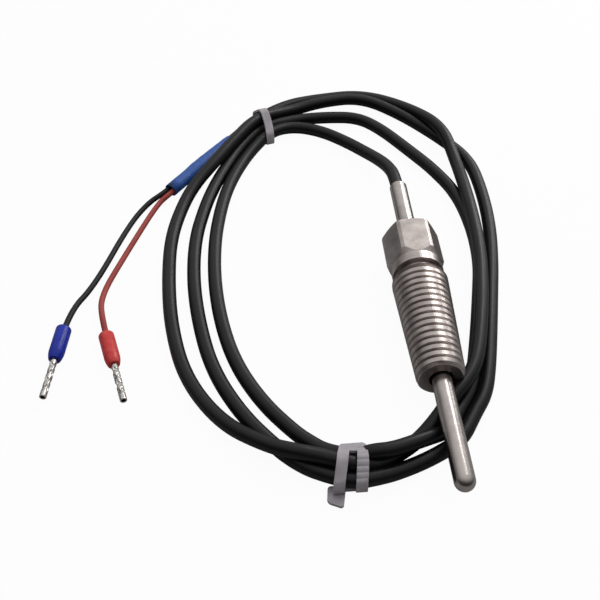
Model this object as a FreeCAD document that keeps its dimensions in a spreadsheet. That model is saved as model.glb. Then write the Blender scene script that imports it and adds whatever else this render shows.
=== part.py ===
import FreeCAD, Part

import math
import os

import Sketcher

# Temperature probe: a steel tube with a resistance element in its tip, a hexagon fitting with a
# tapered thread, and a cable that leaves the tube, is wound into a coil and ends in two ferrules.
# Millimetres. The origin is on the probe's axis, at the collar face in front of the thread.
# The probe lies along Y, its tip towards -Y and its cable towards +Y, and +Z is up.

V = FreeCAD.Vector
os.makedirs("parts", exist_ok=True)
doc = FreeCAD.newDocument("TemperatureProbe")
sheet = doc.addObject("Spreadsheet::Sheet", "Sizes")

SIZES = {
    "TubeDiameter": 5.0,
    "TubeWall": 0.45,
    "ProbeLength": 106.0,
    "MouthReach": 38.5,
    "MouthRounding": 0.7,
    "LipEdge": 0.1,
    "TipDepth": 1.8,
    "HexAcrossFlats": 14.0,
    "BarDiameter": 15.6,
    "HexBack": 15.8,
    "HexChamfer": 0.5,
    "ConeBack": 4.7,
    "ConeFront": 2.9,
    "CollarDiameter": 13.9,
    "UndercutDiameter": 11.8,
    "UndercutWidth": 2.0,
    "ThreadDiameter": 15.1,
    "ThreadEndDiameter": 12.2,
    "ThreadLength": 33.8,
    "ThreadChamfer": 0.7,
    "ThreadPitch": 2.0,
    "ThreadDepth": 0.8,
    "EndBoreDiameter": 6.2,
    "EndBoreDepth": 4.0,
    "FitGap": 0.03,
    "ElementDiameter": 2.8,
    "ElementLength": 14.0,
    "ElementSetback": 2.8,
    "ElementEdge": 0.3,
    "FillingLength": 17.0,
    "FillingWall": 0.4,
    "WireDiameter": 0.3,
    "WireLength": 7.0,
    "WireInSplice": 1.0,
    "SpliceDiameter": 1.7,
    "SpliceLength": 8.0,
    "CoreDiameter": 1.1,
    "CoreSpacing": 1.9,
    "SealLength": 6.5,
    "JacketInsert": 14.0,
    "CableDiameter": 3.8,
    "ShrinkDiameter": 4.6,
    "ShrinkLength": 30.0,
    "JacketInShrink": 22.5,
    "LeadDiameter": 1.6,
    "LeadSpacing": 1.7,
    "LeadInSleeve": 5.0,
    "SleeveDiameter": 4.1,
    "SleeveEdge": 0.5,
    "SleeveNoseLength": 1.5,
    "SleeveLength": 11.0,
    "PinDiameter": 1.8,
    "PinWall": 0.3,
    "PinLength": 12.0,
    "PinInSleeve": 5.5,
    "PinTipEdge": 0.15,
    "CrimpWidth": 0.8,
    "CrimpPitch": 1.5,
    "CrimpDepth": 0.2,
    "CrimpStart": 2.0,
    "StrandLength": 13.5,
    "TieThickness": 1.0,
    "TieWidth": 2.6,
    "TieGap": 0.25,
    "TieTwinWidth": 7.2,
    "TieWindowWidth": 1.9,
    "TieTabLength": 3.2,
    "TieTabWidth": 4.6,
}
for row, (alias, number) in enumerate(SIZES.items(), start=1):
    sheet.set("A%d" % row, alias)
    sheet.set("B%d" % row, str(number))
    sheet.setAlias("B%d" % row, alias)
doc.recompute()


class Length:
    """A length as both the expression that binds it to the sheet and its number."""

    def __init__(self, text, number):
        self.text, self.number = text, number

    def __add__(self, other):
        other = length(other)
        return Length("(%s + %s)" % (self.text, other.text), self.number + other.number)

    def __sub__(self, other):
        other = length(other)
        return Length("(%s - %s)" % (self.text, other.text), self.number - other.number)

    def __neg__(self):
        return Length("(0 - %s)" % self.text, -self.number)

    def __mul__(self, factor):
        return Length("%s * %r" % (self.text, factor), self.number * factor)

    def __truediv__(self, factor):
        return Length("%s / %r" % (self.text, factor), self.number / factor)


def length(value):
    return value if isinstance(value, Length) else Length("(%r)" % float(value), float(value))


def size(alias):
    return Length("Sizes." + alias, float(sheet.get(alias)))


def mm(alias):
    return float(sheet.get(alias))


made = []


def sub_part(feature, label):
    """Give a finished object the name of its node."""
    feature.Label = label
    made.append(feature)
    return feature


# Sketched and turned pieces


def plane(body, role):
    return next(o for o in body.Origin.OriginFeatures if o.Role == role)


def profile(body, points):
    """A closed sketch in the body's XY plane: x is the radius and y runs along the axis.

    A point is (radius, along), and (radius, along, arc radius) starts an arc to the next point.
    """
    sketch = body.newObject("Sketcher::SketchObject", "Profile")
    sketch.AttachmentSupport = [(plane(body, "XY_Plane"), "")]
    sketch.MapMode = "FlatFace"
    places = [(length(p[0]), length(p[1])) for p in points]
    spots = [V(x.number, y.number, 0) for x, y in places]
    for i, point in enumerate(points):
        start, end = spots[i], spots[(i + 1) % len(points)]
        if len(point) == 3:
            chord = end - start
            reach = length(point[2]).number
            side = V(chord.y, -chord.x, 0).normalize()
            rise = abs(reach) - math.sqrt(max(reach**2 - chord.Length**2 / 4, 0))
            middle = (start + end) / 2 + side * math.copysign(rise, reach)
            arc = Part.Arc(start, middle, end).toShape()
            first, last = arc.ParameterRange
            sketch.addGeometry(Part.ArcOfCircle(arc.Curve, first, last), False)
        else:
            sketch.addGeometry(Part.LineSegment(start, end), False)
    forward = [starts_forward(sketch, i, spots[i]) for i in range(len(points))]
    for i, (x, y) in enumerate(places):
        after = (i + 1) % len(points)
        first, last = (1, 2) if forward[i] else (2, 1)
        next_first = 1 if forward[after] else 2
        sketch.addConstraint(Sketcher.Constraint("Coincident", i, last, after, next_first))
        for kind, coordinate in (("DistanceX", x), ("DistanceY", y)):
            if kind == "DistanceX" and coordinate.number == 0:
                sketch.addConstraint(Sketcher.Constraint("PointOnObject", i, first, -2))
                continue
            fixed = Sketcher.Constraint(kind, -1, 1, i, first, coordinate.number)
            index = sketch.addConstraint(fixed)
            sketch.setExpression("Constraints[%d]" % index, coordinate.text)
        if len(points[i]) == 3:
            reach = length(points[i][2])
            index = sketch.addConstraint(Sketcher.Constraint("Radius", i, abs(reach.number)))
            text = reach.text if reach.number > 0 else (-reach).text
            sketch.setExpression("Constraints[%d]" % index, text)
    return sketch


def starts_forward(sketch, index, spot):
    return (sketch.getPoint(index, 1) - spot).Length < 1e-6


def turned(label, points):
    """A body turned about its Y axis from a profile."""
    body = doc.addObject("PartDesign::Body", "Body")
    sketch = profile(body, points)
    turn = body.newObject("PartDesign::Revolution", "Turned")
    turn.Profile = sketch
    turn.ReferenceAxis = (sketch, ["V_Axis"])
    turn.Angle = 360
    return sub_part(body, label)


def laid(body, place, direction):
    """Lay a piece that was turned along Y so that its -Y end points in a direction."""
    body.Placement = FreeCAD.Placement(place, FreeCAD.Rotation(V(0, -1, 0), direction))
    return body


# The probe's steel

TUBE_R = size("TubeDiameter") / 2
BORE_R = TUBE_R - size("TubeWall")
MOUTH = size("MouthReach")
TIP = MOUTH - size("ProbeLength")
LIP_R = size("CableDiameter") / 2 + size("FitGap")
ROUNDING = size("MouthRounding")
FIT = size("FitGap")
DOME = TIP + TUBE_R

turned(
    "sheath_tube",
    [
        (0, TIP, TUBE_R),
        (TUBE_R, DOME),
        (TUBE_R, MOUTH - ROUNDING),
        (TUBE_R - ROUNDING * 0.3, MOUTH - ROUNDING * 0.3),
        (LIP_R + size("LipEdge"), MOUTH),
        (LIP_R, MOUTH - size("LipEdge")),
        (LIP_R, MOUTH - ROUNDING),
        (BORE_R, MOUTH - ROUNDING * 1.6),
        (BORE_R, TIP + size("TipDepth")),
        (0, TIP + size("TipDepth")),
    ],
)

BAR_R = size("BarDiameter") / 2
COLLAR_R = size("CollarDiameter") / 2
UNDERCUT_R = size("UndercutDiameter") / 2
THREAD_R = size("ThreadDiameter") / 2
THREAD_END_R = size("ThreadEndDiameter") / 2
THREAD_START = -size("UndercutWidth")
THREAD_END = THREAD_START - size("ThreadLength")
THREAD_CHAMFER = size("ThreadChamfer")
SEAT_R = TUBE_R + FIT
END_BORE_R = size("EndBoreDiameter") / 2
END_BORE_FLOOR = THREAD_END + size("EndBoreDepth")


def thread_vees():
    """The thread's section as vees at its pitch, with their crests on the cone."""
    top, bottom = THREAD_START - THREAD_CHAMFER, THREAD_END + THREAD_CHAMFER
    run, fall = top - bottom, THREAD_R - THREAD_END_R
    steps = 2 * round(run.number / mm("ThreadPitch"))
    points = []
    for step in range(1, steps):
        share = step / steps
        root = size("ThreadDepth") * (step % 2)
        points.append((THREAD_R - fall * share - root, top - run * share))
    return points


fitting = turned(
    "threaded_fitting",
    [
        (SEAT_R, size("HexBack")),
        (BAR_R - size("HexChamfer") * 2, size("HexBack")),
        (BAR_R, size("HexBack") - size("HexChamfer")),
        (BAR_R, size("ConeBack")),
        (COLLAR_R, size("ConeFront")),
        (COLLAR_R, 0),
        (UNDERCUT_R, 0),
        (UNDERCUT_R, THREAD_START),
        (THREAD_R - THREAD_CHAMFER, THREAD_START),
        (THREAD_R, THREAD_START - THREAD_CHAMFER),
        *thread_vees(),
        (THREAD_END_R, THREAD_END + THREAD_CHAMFER),
        (THREAD_END_R - THREAD_CHAMFER, THREAD_END),
        (END_BORE_R, THREAD_END),
        (END_BORE_R, END_BORE_FLOOR),
        (SEAT_R, END_BORE_FLOOR),
    ],
)


def hexagon_cut(body):
    """Mill the bar down to six flats, with one flat on top and one below."""
    across = size("HexAcrossFlats")
    sketch = body.newObject("Sketcher::SketchObject", "Flats")
    sketch.AttachmentSupport = [(plane(body, "XZ_Plane"), "")]
    sketch.MapMode = "FlatFace"
    corner = across.number / math.sqrt(3)
    for i in range(6):
        a, b = math.radians(60 * i), math.radians(60 * (i + 1))
        start = V(corner * math.cos(a), corner * math.sin(a), 0)
        end = V(corner * math.cos(b), corner * math.sin(b), 0)
        sketch.addGeometry(Part.LineSegment(start, end), False)
    ring = sketch.addGeometry(Part.Circle(V(), V(0, 0, 1), corner), True)
    bar = sketch.addGeometry(Part.Circle(V(), V(0, 0, 1), 2 * corner), False)
    for i in range(6):
        sketch.addConstraint(Sketcher.Constraint("Coincident", i, 2, (i + 1) % 6, 1))
        sketch.addConstraint(Sketcher.Constraint("PointOnObject", i, 1, ring))
        if i < 5:
            sketch.addConstraint(Sketcher.Constraint("Equal", i, i + 1))
    sketch.addConstraint(Sketcher.Constraint("Coincident", ring, 3, -1, 1))
    sketch.addConstraint(Sketcher.Constraint("Coincident", bar, 3, -1, 1))
    sketch.addConstraint(Sketcher.Constraint("Horizontal", 1))
    radius = sketch.addConstraint(Sketcher.Constraint("Radius", ring, corner))
    sketch.setExpression("Constraints[%d]" % radius, (across / math.sqrt(3)).text)
    outer = sketch.addConstraint(Sketcher.Constraint("Radius", bar, 2 * corner))
    sketch.setExpression("Constraints[%d]" % outer, size("BarDiameter").text)
    middle = (size("HexBack") + size("ConeFront")) / 2
    sketch.setExpression("AttachmentOffset.Base.z", (-middle).text)
    cut = body.newObject("PartDesign::Pocket", "Milled")
    cut.Profile = sketch
    cut.Midplane = True
    cut.setExpression("Length", (size("HexBack") - size("ConeFront") + 2).text)
    return cut


hexagon_cut(fitting)

# What the tube holds, from the tip to the cable

ELEMENT_FRONT = TIP + size("ElementSetback")
ELEMENT_BACK = ELEMENT_FRONT + size("ElementLength")
WIRE_BACK = ELEMENT_BACK + size("WireLength")
SPLICE_FRONT = WIRE_BACK - size("WireInSplice")
SPLICE_BACK = SPLICE_FRONT + size("SpliceLength")
CORE_FRONT = WIRE_BACK + FIT
JACKET_END = MOUTH - size("JacketInsert")
SEAL_FRONT = JACKET_END - size("SealLength")
ELEMENT_R = size("ElementDiameter") / 2
ELEMENT_EDGE = size("ElementEdge")
FILLING_BACK = ELEMENT_FRONT + size("FillingLength")

turned(
    "rtd_element",
    [
        (0, ELEMENT_FRONT),
        (ELEMENT_R - ELEMENT_EDGE, ELEMENT_FRONT),
        (ELEMENT_R, ELEMENT_FRONT + ELEMENT_EDGE),
        (ELEMENT_R, ELEMENT_BACK - ELEMENT_EDGE),
        (ELEMENT_R - ELEMENT_EDGE, ELEMENT_BACK),
        (0, ELEMENT_BACK),
    ],
)


def rod(name, diameter, front, back, x):
    """A straight round rod along Y, bound to the sheet."""
    piece = doc.addObject("Part::Cylinder", name)
    piece.setExpression("Radius", (diameter / 2).text)
    piece.setExpression("Height", (back - front).text)
    piece.setExpression("Placement.Base.x", x.text)
    piece.setExpression("Placement.Base.y", front.text)
    piece.Placement.Rotation = FreeCAD.Rotation(V(0, 0, 1), V(0, 1, 0))
    return piece


def cut(name, base, tools):
    """The base with every tool cut out of it."""
    joined = tools[0]
    if len(tools) > 1:
        joined = doc.addObject("Part::MultiFuse", name + "Tools")
        joined.Shapes = tools
    piece = doc.addObject("Part::Cut", name)
    piece.Base, piece.Tool = base, joined
    return piece


CORES = (("black", -1), ("red", 1))
core_beds = []
for colour, side in CORES:
    x = size("CoreSpacing") / 2 * side
    wire = rod("Wire", size("WireDiameter"), ELEMENT_BACK, WIRE_BACK, x)
    sub_part(wire, "element_wire_" + colour)
    core = rod("Core", size("CoreDiameter"), CORE_FRONT, JACKET_END, x)
    sub_part(core, "inner_core_" + colour)
    tube = rod("SpliceTube", size("SpliceDiameter"), SPLICE_FRONT, SPLICE_BACK, x)
    wire_bed = rod("WireBed", size("WireDiameter") + FIT * 2, SPLICE_FRONT, WIRE_BACK, x)
    core_bed = rod("CoreBed", size("CoreDiameter") + FIT * 2, WIRE_BACK, SPLICE_BACK, x)
    sub_part(cut("Splice", tube, [wire_bed, core_bed]), "splice_sleeve_" + colour)
    core_beds.append(rod("SealBed", size("CoreDiameter") + FIT * 2, SEAL_FRONT, JACKET_END, x))

seal_blank = rod("SealBlank", (BORE_R - FIT) * 2, SEAL_FRONT, JACKET_END, length(0))
sub_part(cut("Seal", seal_blank, core_beds), "cable_seal")

FILLING_R = BORE_R - FIT
FILLING_FRONT = TIP + size("TipDepth") + FIT
filling = turned(
    "tip_filling",
    [
        (0, FILLING_FRONT),
        (FILLING_R, FILLING_FRONT),
        (FILLING_R, FILLING_BACK),
        (0, FILLING_BACK),
    ],
)


def revolved_cut(body, points):
    """Turn a profile out of a body."""
    sketch = profile(body, points)
    groove = body.newObject("PartDesign::Groove", "Pocket")
    groove.Profile = sketch
    groove.ReferenceAxis = (sketch, ["V_Axis"])
    groove.Angle = 360


revolved_cut(
    filling,
    [
        (0, ELEMENT_FRONT - FIT),
        (ELEMENT_R + FIT, ELEMENT_FRONT - FIT),
        (ELEMENT_R + FIT, ELEMENT_BACK),
        (BORE_R - size("FillingWall"), ELEMENT_BACK),
        (BORE_R - size("FillingWall"), FILLING_BACK + 1),
        (0, FILLING_BACK + 1),
    ],
)

# Tubes along a route of straight runs and tangent arcs

ARC_SHARE = 0.45


def route_edges(points, name):
    """Straight runs joined by tangent arcs, each as large as its two runs allow."""
    edges, radii, start = [], [], points[0]
    for before, corner, after in zip(points, points[1:], points[2:]):
        back, ahead = (before - corner), (after - corner)
        trim = ARC_SHARE * min(back.Length, ahead.Length)
        turn = math.pi - back.getAngle(ahead)
        radius = trim / math.tan(turn / 2)
        radii.append(radius)
        first, last = corner + back.normalize() * trim, corner + ahead.normalize() * trim
        inward = (back + ahead).normalize()
        middle = corner + inward * (radius / math.cos(turn / 2) - radius)
        edges.append(Part.LineSegment(start, first).toShape())
        edges.append(Part.Arc(first, middle, last).toShape())
        start = last
    edges.append(Part.LineSegment(start, points[-1]).toShape())
    print(name, "radii", [round(r, 1) for r in radii])
    return edges


def stretch(edges, begin, end):
    """The part of a route between two distances along it."""
    kept, at = [], 0.0
    for edge in edges:
        low, high = max(begin - at, 0.0), min(end - at, edge.Length)
        if high - low > 1e-6:
            first = edge.getParameterByLength(low)
            last = edge.getParameterByLength(high)
            kept.append(edge.Curve.toShape(first, last))
        at += edge.Length
    return kept


def tube(edges, radius, name=None):
    """A round tube along the edges."""
    wire = Part.Wire(edges)
    first = edges[0]
    start = first.valueAt(first.FirstParameter)
    circle = Part.Circle(start, first.tangentAt(first.FirstParameter), radius)
    solid = wire.makePipeShell([Part.Wire([circle.toShape()])], True, False)
    if name:
        share = solid.Volume / (math.pi * radius**2 * wire.Length)
        print(name, "length", round(wire.Length, 1), "volume over section", round(share, 4))
    return solid


def feature(label, shape):
    piece = doc.addObject("Part::Feature", "Piece")
    piece.Shape = shape
    return sub_part(piece, label)


# The coil

FLOOR = -mm("ThreadDiameter") / 2
CABLE_R = mm("CableDiameter") / 2
LYING = FLOOR + CABLE_R

# Stations around the coil, from the upper tie and counter-clockwise seen from above: the middle
# turn's place, how far the inner turn lies inside it and the outer turn outside it.
STATIONS = [
    (-39.2, 77.6, 3.9, 3.9),
    (-46.9, 67.3, 3.9, 0.6),
    (-51.8, 56.5, 3.9, 3.6),
    (-55.0, 48.0, 4.3, 5.6),
    (-57.6, 39.0, 4.9, 6.6),
    (-60.3, 25.5, 5.7, 7.1),
    (-60.8, 9.0, 5.8, 6.8),
    (-59.2, -7.5, 5.7, 7.3),
    (-55.8, -24.0, 6.0, 7.2),
    (-49.0, -38.5, 6.1, 5.6),
    (-41.0, -49.0, 5.8, 2.4),
    (-32.5, -56.2, 6.3, 0.0),
    (-24.0, -59.2, 7.1, 0.0),
    (-18.0, -58.9, 6.5, 0.0),
    (-12.9, -57.5, 4.6, 0.0),
    (-5.0, -54.0, 7.4, 0.0),
    (2.6, -48.6, 7.8, 0.0),
    (7.2, -42.8, 5.4, 0.0),
    (11.2, -36.9, 3.9, 0.0),
    (13.8, -29.0, 3.9, 0.0),
    (17.0, -16.0, 3.9, 0.0),
    (20.0, -3.0, 3.9, 0.0),
    (23.0, 10.0, 4.4, 0.0),
    (25.6, 25.0, 6.6, 0.0),
    (26.6, 41.0, 8.8, 0.0),
    (25.8, 57.0, 13.3, 0.0),
    (18.6, 69.1, 12.6, 0.4),
    (7.6, 83.4, 11.0, 3.9),
    (-4.7, 91.6, 9.6, 3.4),
    (-18.4, 89.6, 6.6, 3.3),
    (-28.6, 86.2, 4.2, 3.7),
]


# The cord that comes from the probe joins the coil here, and the tail leaves it there.
SHRINK_R = mm("ShrinkDiameter") / 2
SHRINK_LIE = FLOOR + SHRINK_R
ENTRY_ROUTE = [
    V(0, JACKET_END.number, 0),
    V(0, 46.0, 0),
    V(-3.2, 57.6, LYING + 1.6),
    V(-9.4, 69.4, LYING + 0.1),
    V(-18.4, 76.8, LYING),
    V(-28.5, 78.6, LYING),
]
TAIL_ROUTE = [
    V(-45.9, 76.6, SHRINK_LIE),
    V(-53.5, 70.5, SHRINK_LIE),
    V(-67.8, 47.9, SHRINK_LIE),
]


def coil_edge(column, side):
    """One edge of the coil: the centre line of its outer or inner turn, moved out by a radius."""
    places = [V(x, y, FLOOR) for x, y, inner, outer in STATIONS]
    edge = []
    for i, place in enumerate(places):
        chord = places[(i + 1) % len(places)] - places[i - 1]
        outward = V(chord.y, -chord.x, 0).normalize()
        edge.append(place + outward * side * (STATIONS[i][column] + CABLE_R))
    return edge


def step_ends(place, way):
    """The two ends of a step as wide as the cable, across its way."""
    across = V(-way.y, way.x, 0).normalize() * CABLE_R
    foot = V(place.x, place.y, FLOOR)
    return foot + across, foot - across


def outline(points):
    """A line of arcs, each through three of the points, closed by one straight step."""
    arcs = [Part.Arc(*points[i : i + 3]).toShape() for i in range(0, len(points) - 2, 2)]
    return Part.Wire(arcs + [Part.LineSegment(points[-1], points[0]).toShape()])


def raised_strand(points, top):
    """A turn that rides on the others, as a straight-sided strip along its points."""
    left, right = [], []
    for i, (x, y) in enumerate(points):
        ahead, behind = points[min(i + 1, len(points) - 1)], points[max(i - 1, 0)]
        way = V(ahead[0] - behind[0], ahead[1] - behind[1], 0).normalize()
        across = V(-way.y, way.x, 0) * CABLE_R * 0.8
        foot = V(x, y, FLOOR + CABLE_R * 1.5)
        left.append(foot + across)
        right.append(foot - across)
    loop = left + right[::-1]
    strip = Part.Face(Part.makePolygon(loop + loop[:1]))
    return strip.extrude(V(0, 0, top - CABLE_R * 1.5))


UPPER_STRAND = [(-33.5, 83.6), (-40.0, 79.1), (-45.2, 71.2), (-50.0, 65.6), (-53.8, 58.2)]
LOWER_STRAND = [(-44.0, -50.2), (-38.0, -53.0), (-31.5, -55.0), (-24.0, -55.8), (-17.5, -55.4)]
RIGHT_STRAND = [(10.8, -27.9), (13.6, -16.0), (17.0, -3.0), (20.0, 10.0), (21.4, 25.0), (21.2, 40.0)]
UPPER_TOP = CABLE_R * 4.1
LOWER_TOP = CABLE_R * 3.4


class Band:
    """A tie's place on the coil: its middle, the way across the turns, and its opening."""

    def __init__(self, x, y, across_degrees, breadth, height):
        self.middle = V(x, y, FLOOR)
        self.turn = across_degrees
        self.breadth, self.height = breadth, height

    def block(self, along, breadth, low, high, rounding=0.0, x=0.0, y=0.0):
        """A block in the tie's own frame: along the turns, across them and up from the floor."""
        box = Part.makeBox(along, breadth, high - low, V(x - along / 2, y - breadth / 2, low))
        if rounding:
            lengthwise = [e for e in box.Edges if abs(e.tangentAt(0).x) > 0.99]
            box = box.makeFillet(rounding, lengthwise)
        box.rotate(V(), V(0, 0, 1), self.turn - 90)
        box.translate(self.middle)
        return box


THICK, GAP = mm("TieThickness"), mm("TieGap")
CABLE_D = mm("CableDiameter")
UPPER_BAND = Band(-39.2, 77.6, 124, 3.25 * CABLE_D + 2 * GAP, UPPER_TOP + GAP)
LOWER_BAND = Band(-23.8, -55.55, 90, 3.2 * CABLE_D + 2 * GAP, LOWER_TOP + GAP)


def channel(band, along):
    """The room that a tie takes under the turns."""
    return band.block(along + 2 * GAP, band.breadth + 2 * THICK, -1.0, THICK + GAP)


outer = coil_edge(3, 1)
inner = coil_edge(2, -1)
exit_outer, exit_inner = step_ends(TAIL_ROUTE[0], TAIL_ROUTE[0] - TAIL_ROUTE[1])
entry_outer, entry_inner = step_ends(ENTRY_ROUTE[-1], ENTRY_ROUTE[-2] - ENTRY_ROUTE[-1])
disc = Part.Face(outline([exit_inner] + outer[1:] + [outer[0], exit_outer])).extrude(V(0, 0, CABLE_D))
hole = Part.Face(outline([entry_inner] + inner + [entry_outer])).extrude(V(0, 0, CABLE_D))
coil = disc.cut(hole)
for strand, top in ((UPPER_STRAND, UPPER_TOP), (LOWER_STRAND, LOWER_TOP), (RIGHT_STRAND, UPPER_TOP)):
    coil = coil.fuse(raised_strand(strand, top))
for band, along in ((UPPER_BAND, mm("TieWidth")), (LOWER_BAND, mm("TieTwinWidth"))):
    coil = coil.cut(channel(band, along))
feature("cable_coil", coil)


def tie(band, along, rounding):
    """A closed loop of strap round the turns."""
    outer_block = band.block(along, band.breadth + 2 * THICK, 0, band.height + THICK, rounding)
    opening = band.block(along + 2, band.breadth, THICK, band.height, rounding - THICK)
    return outer_block.cut(opening)


feature("tie_top", tie(UPPER_BAND, mm("TieWidth"), 1.6))

lower = tie(LOWER_BAND, mm("TieTwinWidth"), 1.6)
front_depth = LOWER_BAND.breadth * 0.62
window = LOWER_BAND.block(
    mm("TieWindowWidth"),
    front_depth + 2 * THICK,
    THICK * 1.2,
    LOWER_BAND.height + 2 * THICK,
    y=-(LOWER_BAND.breadth - front_depth) / 2 - THICK,
)
lower = lower.cut(window)
tab_reach = LOWER_BAND.breadth / 2 + THICK * 0.5
tab = LOWER_BAND.block(
    mm("TieTabWidth"),
    mm("TieTabLength") + THICK * 0.5,
    0,
    THICK * 2.6,
    1.0,
    x=-mm("TieTwinWidth") / 2 - 0.2,
    y=-tab_reach - mm("TieTabLength") / 2 - THICK * 0.25,
)
feature("tie_bottom", lower.fuse(tab).removeSplitter())

# The cable from the tube to the coil, and from the coil to its end

entry_edges = route_edges(ENTRY_ROUTE, "cable_entry")
feature("cable_entry", tube(entry_edges, CABLE_R, "cable_entry"))

tail_edges = route_edges(TAIL_ROUTE, "cable_tail")
tail_length = sum(e.Length for e in tail_edges)
shrink_start = tail_length - mm("ShrinkLength")
jacket_end = shrink_start + mm("JacketInShrink")
feature("cable_tail", tube(stretch(tail_edges, 0, jacket_end), CABLE_R, "cable_tail"))

shrink = tube(stretch(tail_edges, shrink_start, tail_length), SHRINK_R, "heat_shrink")
jacket_bed = tube(stretch(tail_edges, 0, jacket_end), CABLE_R + FIT.number)
lead_bed_r = (mm("LeadDiameter") + mm("LeadSpacing")) / 2 + FIT.number
lead_bed = tube(stretch(tail_edges, jacket_end, tail_length), lead_bed_r)
feature("heat_shrink", shrink.cut(jacket_bed).cut(lead_bed))

# The two leads, each into its ferrule

LEAD_R = mm("LeadDiameter") / 2
LEAD_LIE = FLOOR + LEAD_R
FERRULE_LIE = FLOOR + mm("SleeveDiameter") / 2
last_run = tail_edges[-1]
SHRINK_WAY = last_run.tangentAt(last_run.FirstParameter)
SHRINK_ACROSS = V(SHRINK_WAY.y, -SHRINK_WAY.x, 0)
LEAD_START = TAIL_ROUTE[-1] - SHRINK_WAY * (mm("ShrinkLength") - mm("JacketInShrink"))

BLACK_BENDS = [
    V(-74.6, 43.6, LEAD_LIE + 0.5),
    V(-80.0, 34.0, LEAD_LIE),
    V(-88.0, 9.0, LEAD_LIE + 0.3),
]
RED_BENDS = [
    V(-71.9, 42.6, LEAD_LIE + 0.5),
    V(-80.6, 20.4, LEAD_LIE),
    V(-85.9, 5.0, LEAD_LIE + 0.3),
]
FERRULES = {
    "blue": ("black_lead", 1, BLACK_BENDS, V(-94.4, -7.3, FERRULE_LIE), V(-0.127, -0.992, 0)),
    "red": ("red_lead", -1, RED_BENDS, V(-83.3, -10.3, FERRULE_LIE), V(0.256, -0.967, 0)),
}

CRIMPS = 4


def ferrule_pin(label, back):
    """A thin tube, open at its tip, with a row of crimp marks pressed in near its collar."""
    outer_r = size("PinDiameter") / 2
    inner_r = outer_r - size("PinWall")
    tip = back - size("PinLength") - size("PinInSleeve")
    first = back - size("PinInSleeve") - size("CrimpStart")
    outside = [(outer_r, back)]
    for mark in range(CRIMPS):
        start = first - size("CrimpPitch") * mark
        end = start - size("CrimpWidth")
        pressed = outer_r - size("CrimpDepth")
        outside += [(outer_r, start), (pressed, start), (pressed, end), (outer_r, end)]
    edge = size("PinTipEdge")
    outside += [(outer_r, tip + edge), (outer_r - edge * 0.6, tip)]
    return turned(label, [(inner_r, back)] + outside + [(inner_r, tip)])


def ferrule_sleeve(label):
    """A moulded collar with a soft edge round the lead and a blunt nose round the pin."""
    sleeve_r = size("SleeveDiameter") / 2
    sleeve, nose = size("SleeveLength"), size("SleeveNoseLength")
    lead_r = size("LeadDiameter") / 2 + FIT
    pin_r = size("PinDiameter") / 2 + FIT
    shoulder = size("PinInSleeve") - sleeve
    return turned(
        label,
        [
            (lead_r, 0),
            (sleeve_r - size("SleeveEdge"), 0),
            (sleeve_r, -size("SleeveEdge")),
            (sleeve_r, nose - sleeve),
            (sleeve_r - nose * 0.25, nose * 0.35 - sleeve),
            (sleeve_r - nose * 0.65, -sleeve),
            (pin_r, -sleeve),
            (pin_r, shoulder),
            (lead_r, shoulder),
        ],
    )


for colour, (lead, side, bends, mouth, way) in FERRULES.items():
    offset = SHRINK_ACROSS * side * mm("LeadSpacing") / 2
    bedded = way * mm("LeadInSleeve")
    route = [LEAD_START + offset, TAIL_ROUTE[-1] + SHRINK_WAY * 2 + offset]
    route += bends + [mouth - way * 6, mouth + bedded]
    feature(lead, tube(route_edges(route, lead), LEAD_R, lead))
    laid(ferrule_sleeve(colour + "_ferrule_sleeve"), mouth, way)
    pin_back = size("PinInSleeve") - size("SleeveLength")
    laid(ferrule_pin(colour + "_ferrule_pin", pin_back), mouth, way)
    strand_r = size("PinDiameter") / 2 - size("PinWall") - FIT
    strand_end = pin_back - size("StrandLength")
    strands = turned(
        colour + "_ferrule_strands",
        [
            (0, pin_back),
            (strand_r, pin_back),
            (strand_r, strand_end),
            (0, strand_end),
        ],
    )
    laid(strands, mouth, way)

doc.recompute()
for piece in doc.Objects:
    if "Invalid" in piece.State or "Error" in piece.State:
        raise SystemExit("not built: %s %s" % (piece.Label, piece.State))
for piece in made:
    if piece.Shape.isNull() or not piece.Shape.isValid():
        raise SystemExit("bad shape: %s" % piece.Label)
for piece in made:
    piece.Shape.exportStep("parts/%s.step" % piece.Label)
    print(piece.Label, round(piece.Shape.Volume, 2))
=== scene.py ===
# %% [markdown]
# # A temperature probe on its coiled cable
#
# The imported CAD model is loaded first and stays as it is. Pieces that need more detail than a solid
# has are modelled here and stand for their CAD nodes. Everything is in metres, in the CAD's frame:
# the probe lies along Y with its tip towards -Y, and +Z is up.

import math

import bmesh
import bpy
from mathutils import Matrix, Vector, noise


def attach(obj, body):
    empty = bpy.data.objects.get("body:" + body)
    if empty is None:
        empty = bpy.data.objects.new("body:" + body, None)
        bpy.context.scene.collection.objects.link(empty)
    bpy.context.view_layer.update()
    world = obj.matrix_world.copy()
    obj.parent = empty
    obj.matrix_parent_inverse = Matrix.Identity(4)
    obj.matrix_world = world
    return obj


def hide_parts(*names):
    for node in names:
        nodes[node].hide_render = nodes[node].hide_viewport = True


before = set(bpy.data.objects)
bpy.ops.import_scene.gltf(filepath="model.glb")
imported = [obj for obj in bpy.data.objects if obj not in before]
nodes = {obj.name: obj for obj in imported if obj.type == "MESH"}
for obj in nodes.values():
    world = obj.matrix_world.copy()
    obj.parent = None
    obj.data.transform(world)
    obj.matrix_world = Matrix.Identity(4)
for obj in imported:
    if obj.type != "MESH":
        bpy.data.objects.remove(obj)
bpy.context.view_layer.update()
MM = 0.001

# %% [markdown]
# ## Camera
#
# The photograph looks down on the probe at about 46 degrees, from only 256 mm away, so the
# perspective is strong. The angle and the distance come from fitting the probe's straight tube and
# the hexagon, so they are numbers here and not found by eye.

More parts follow.
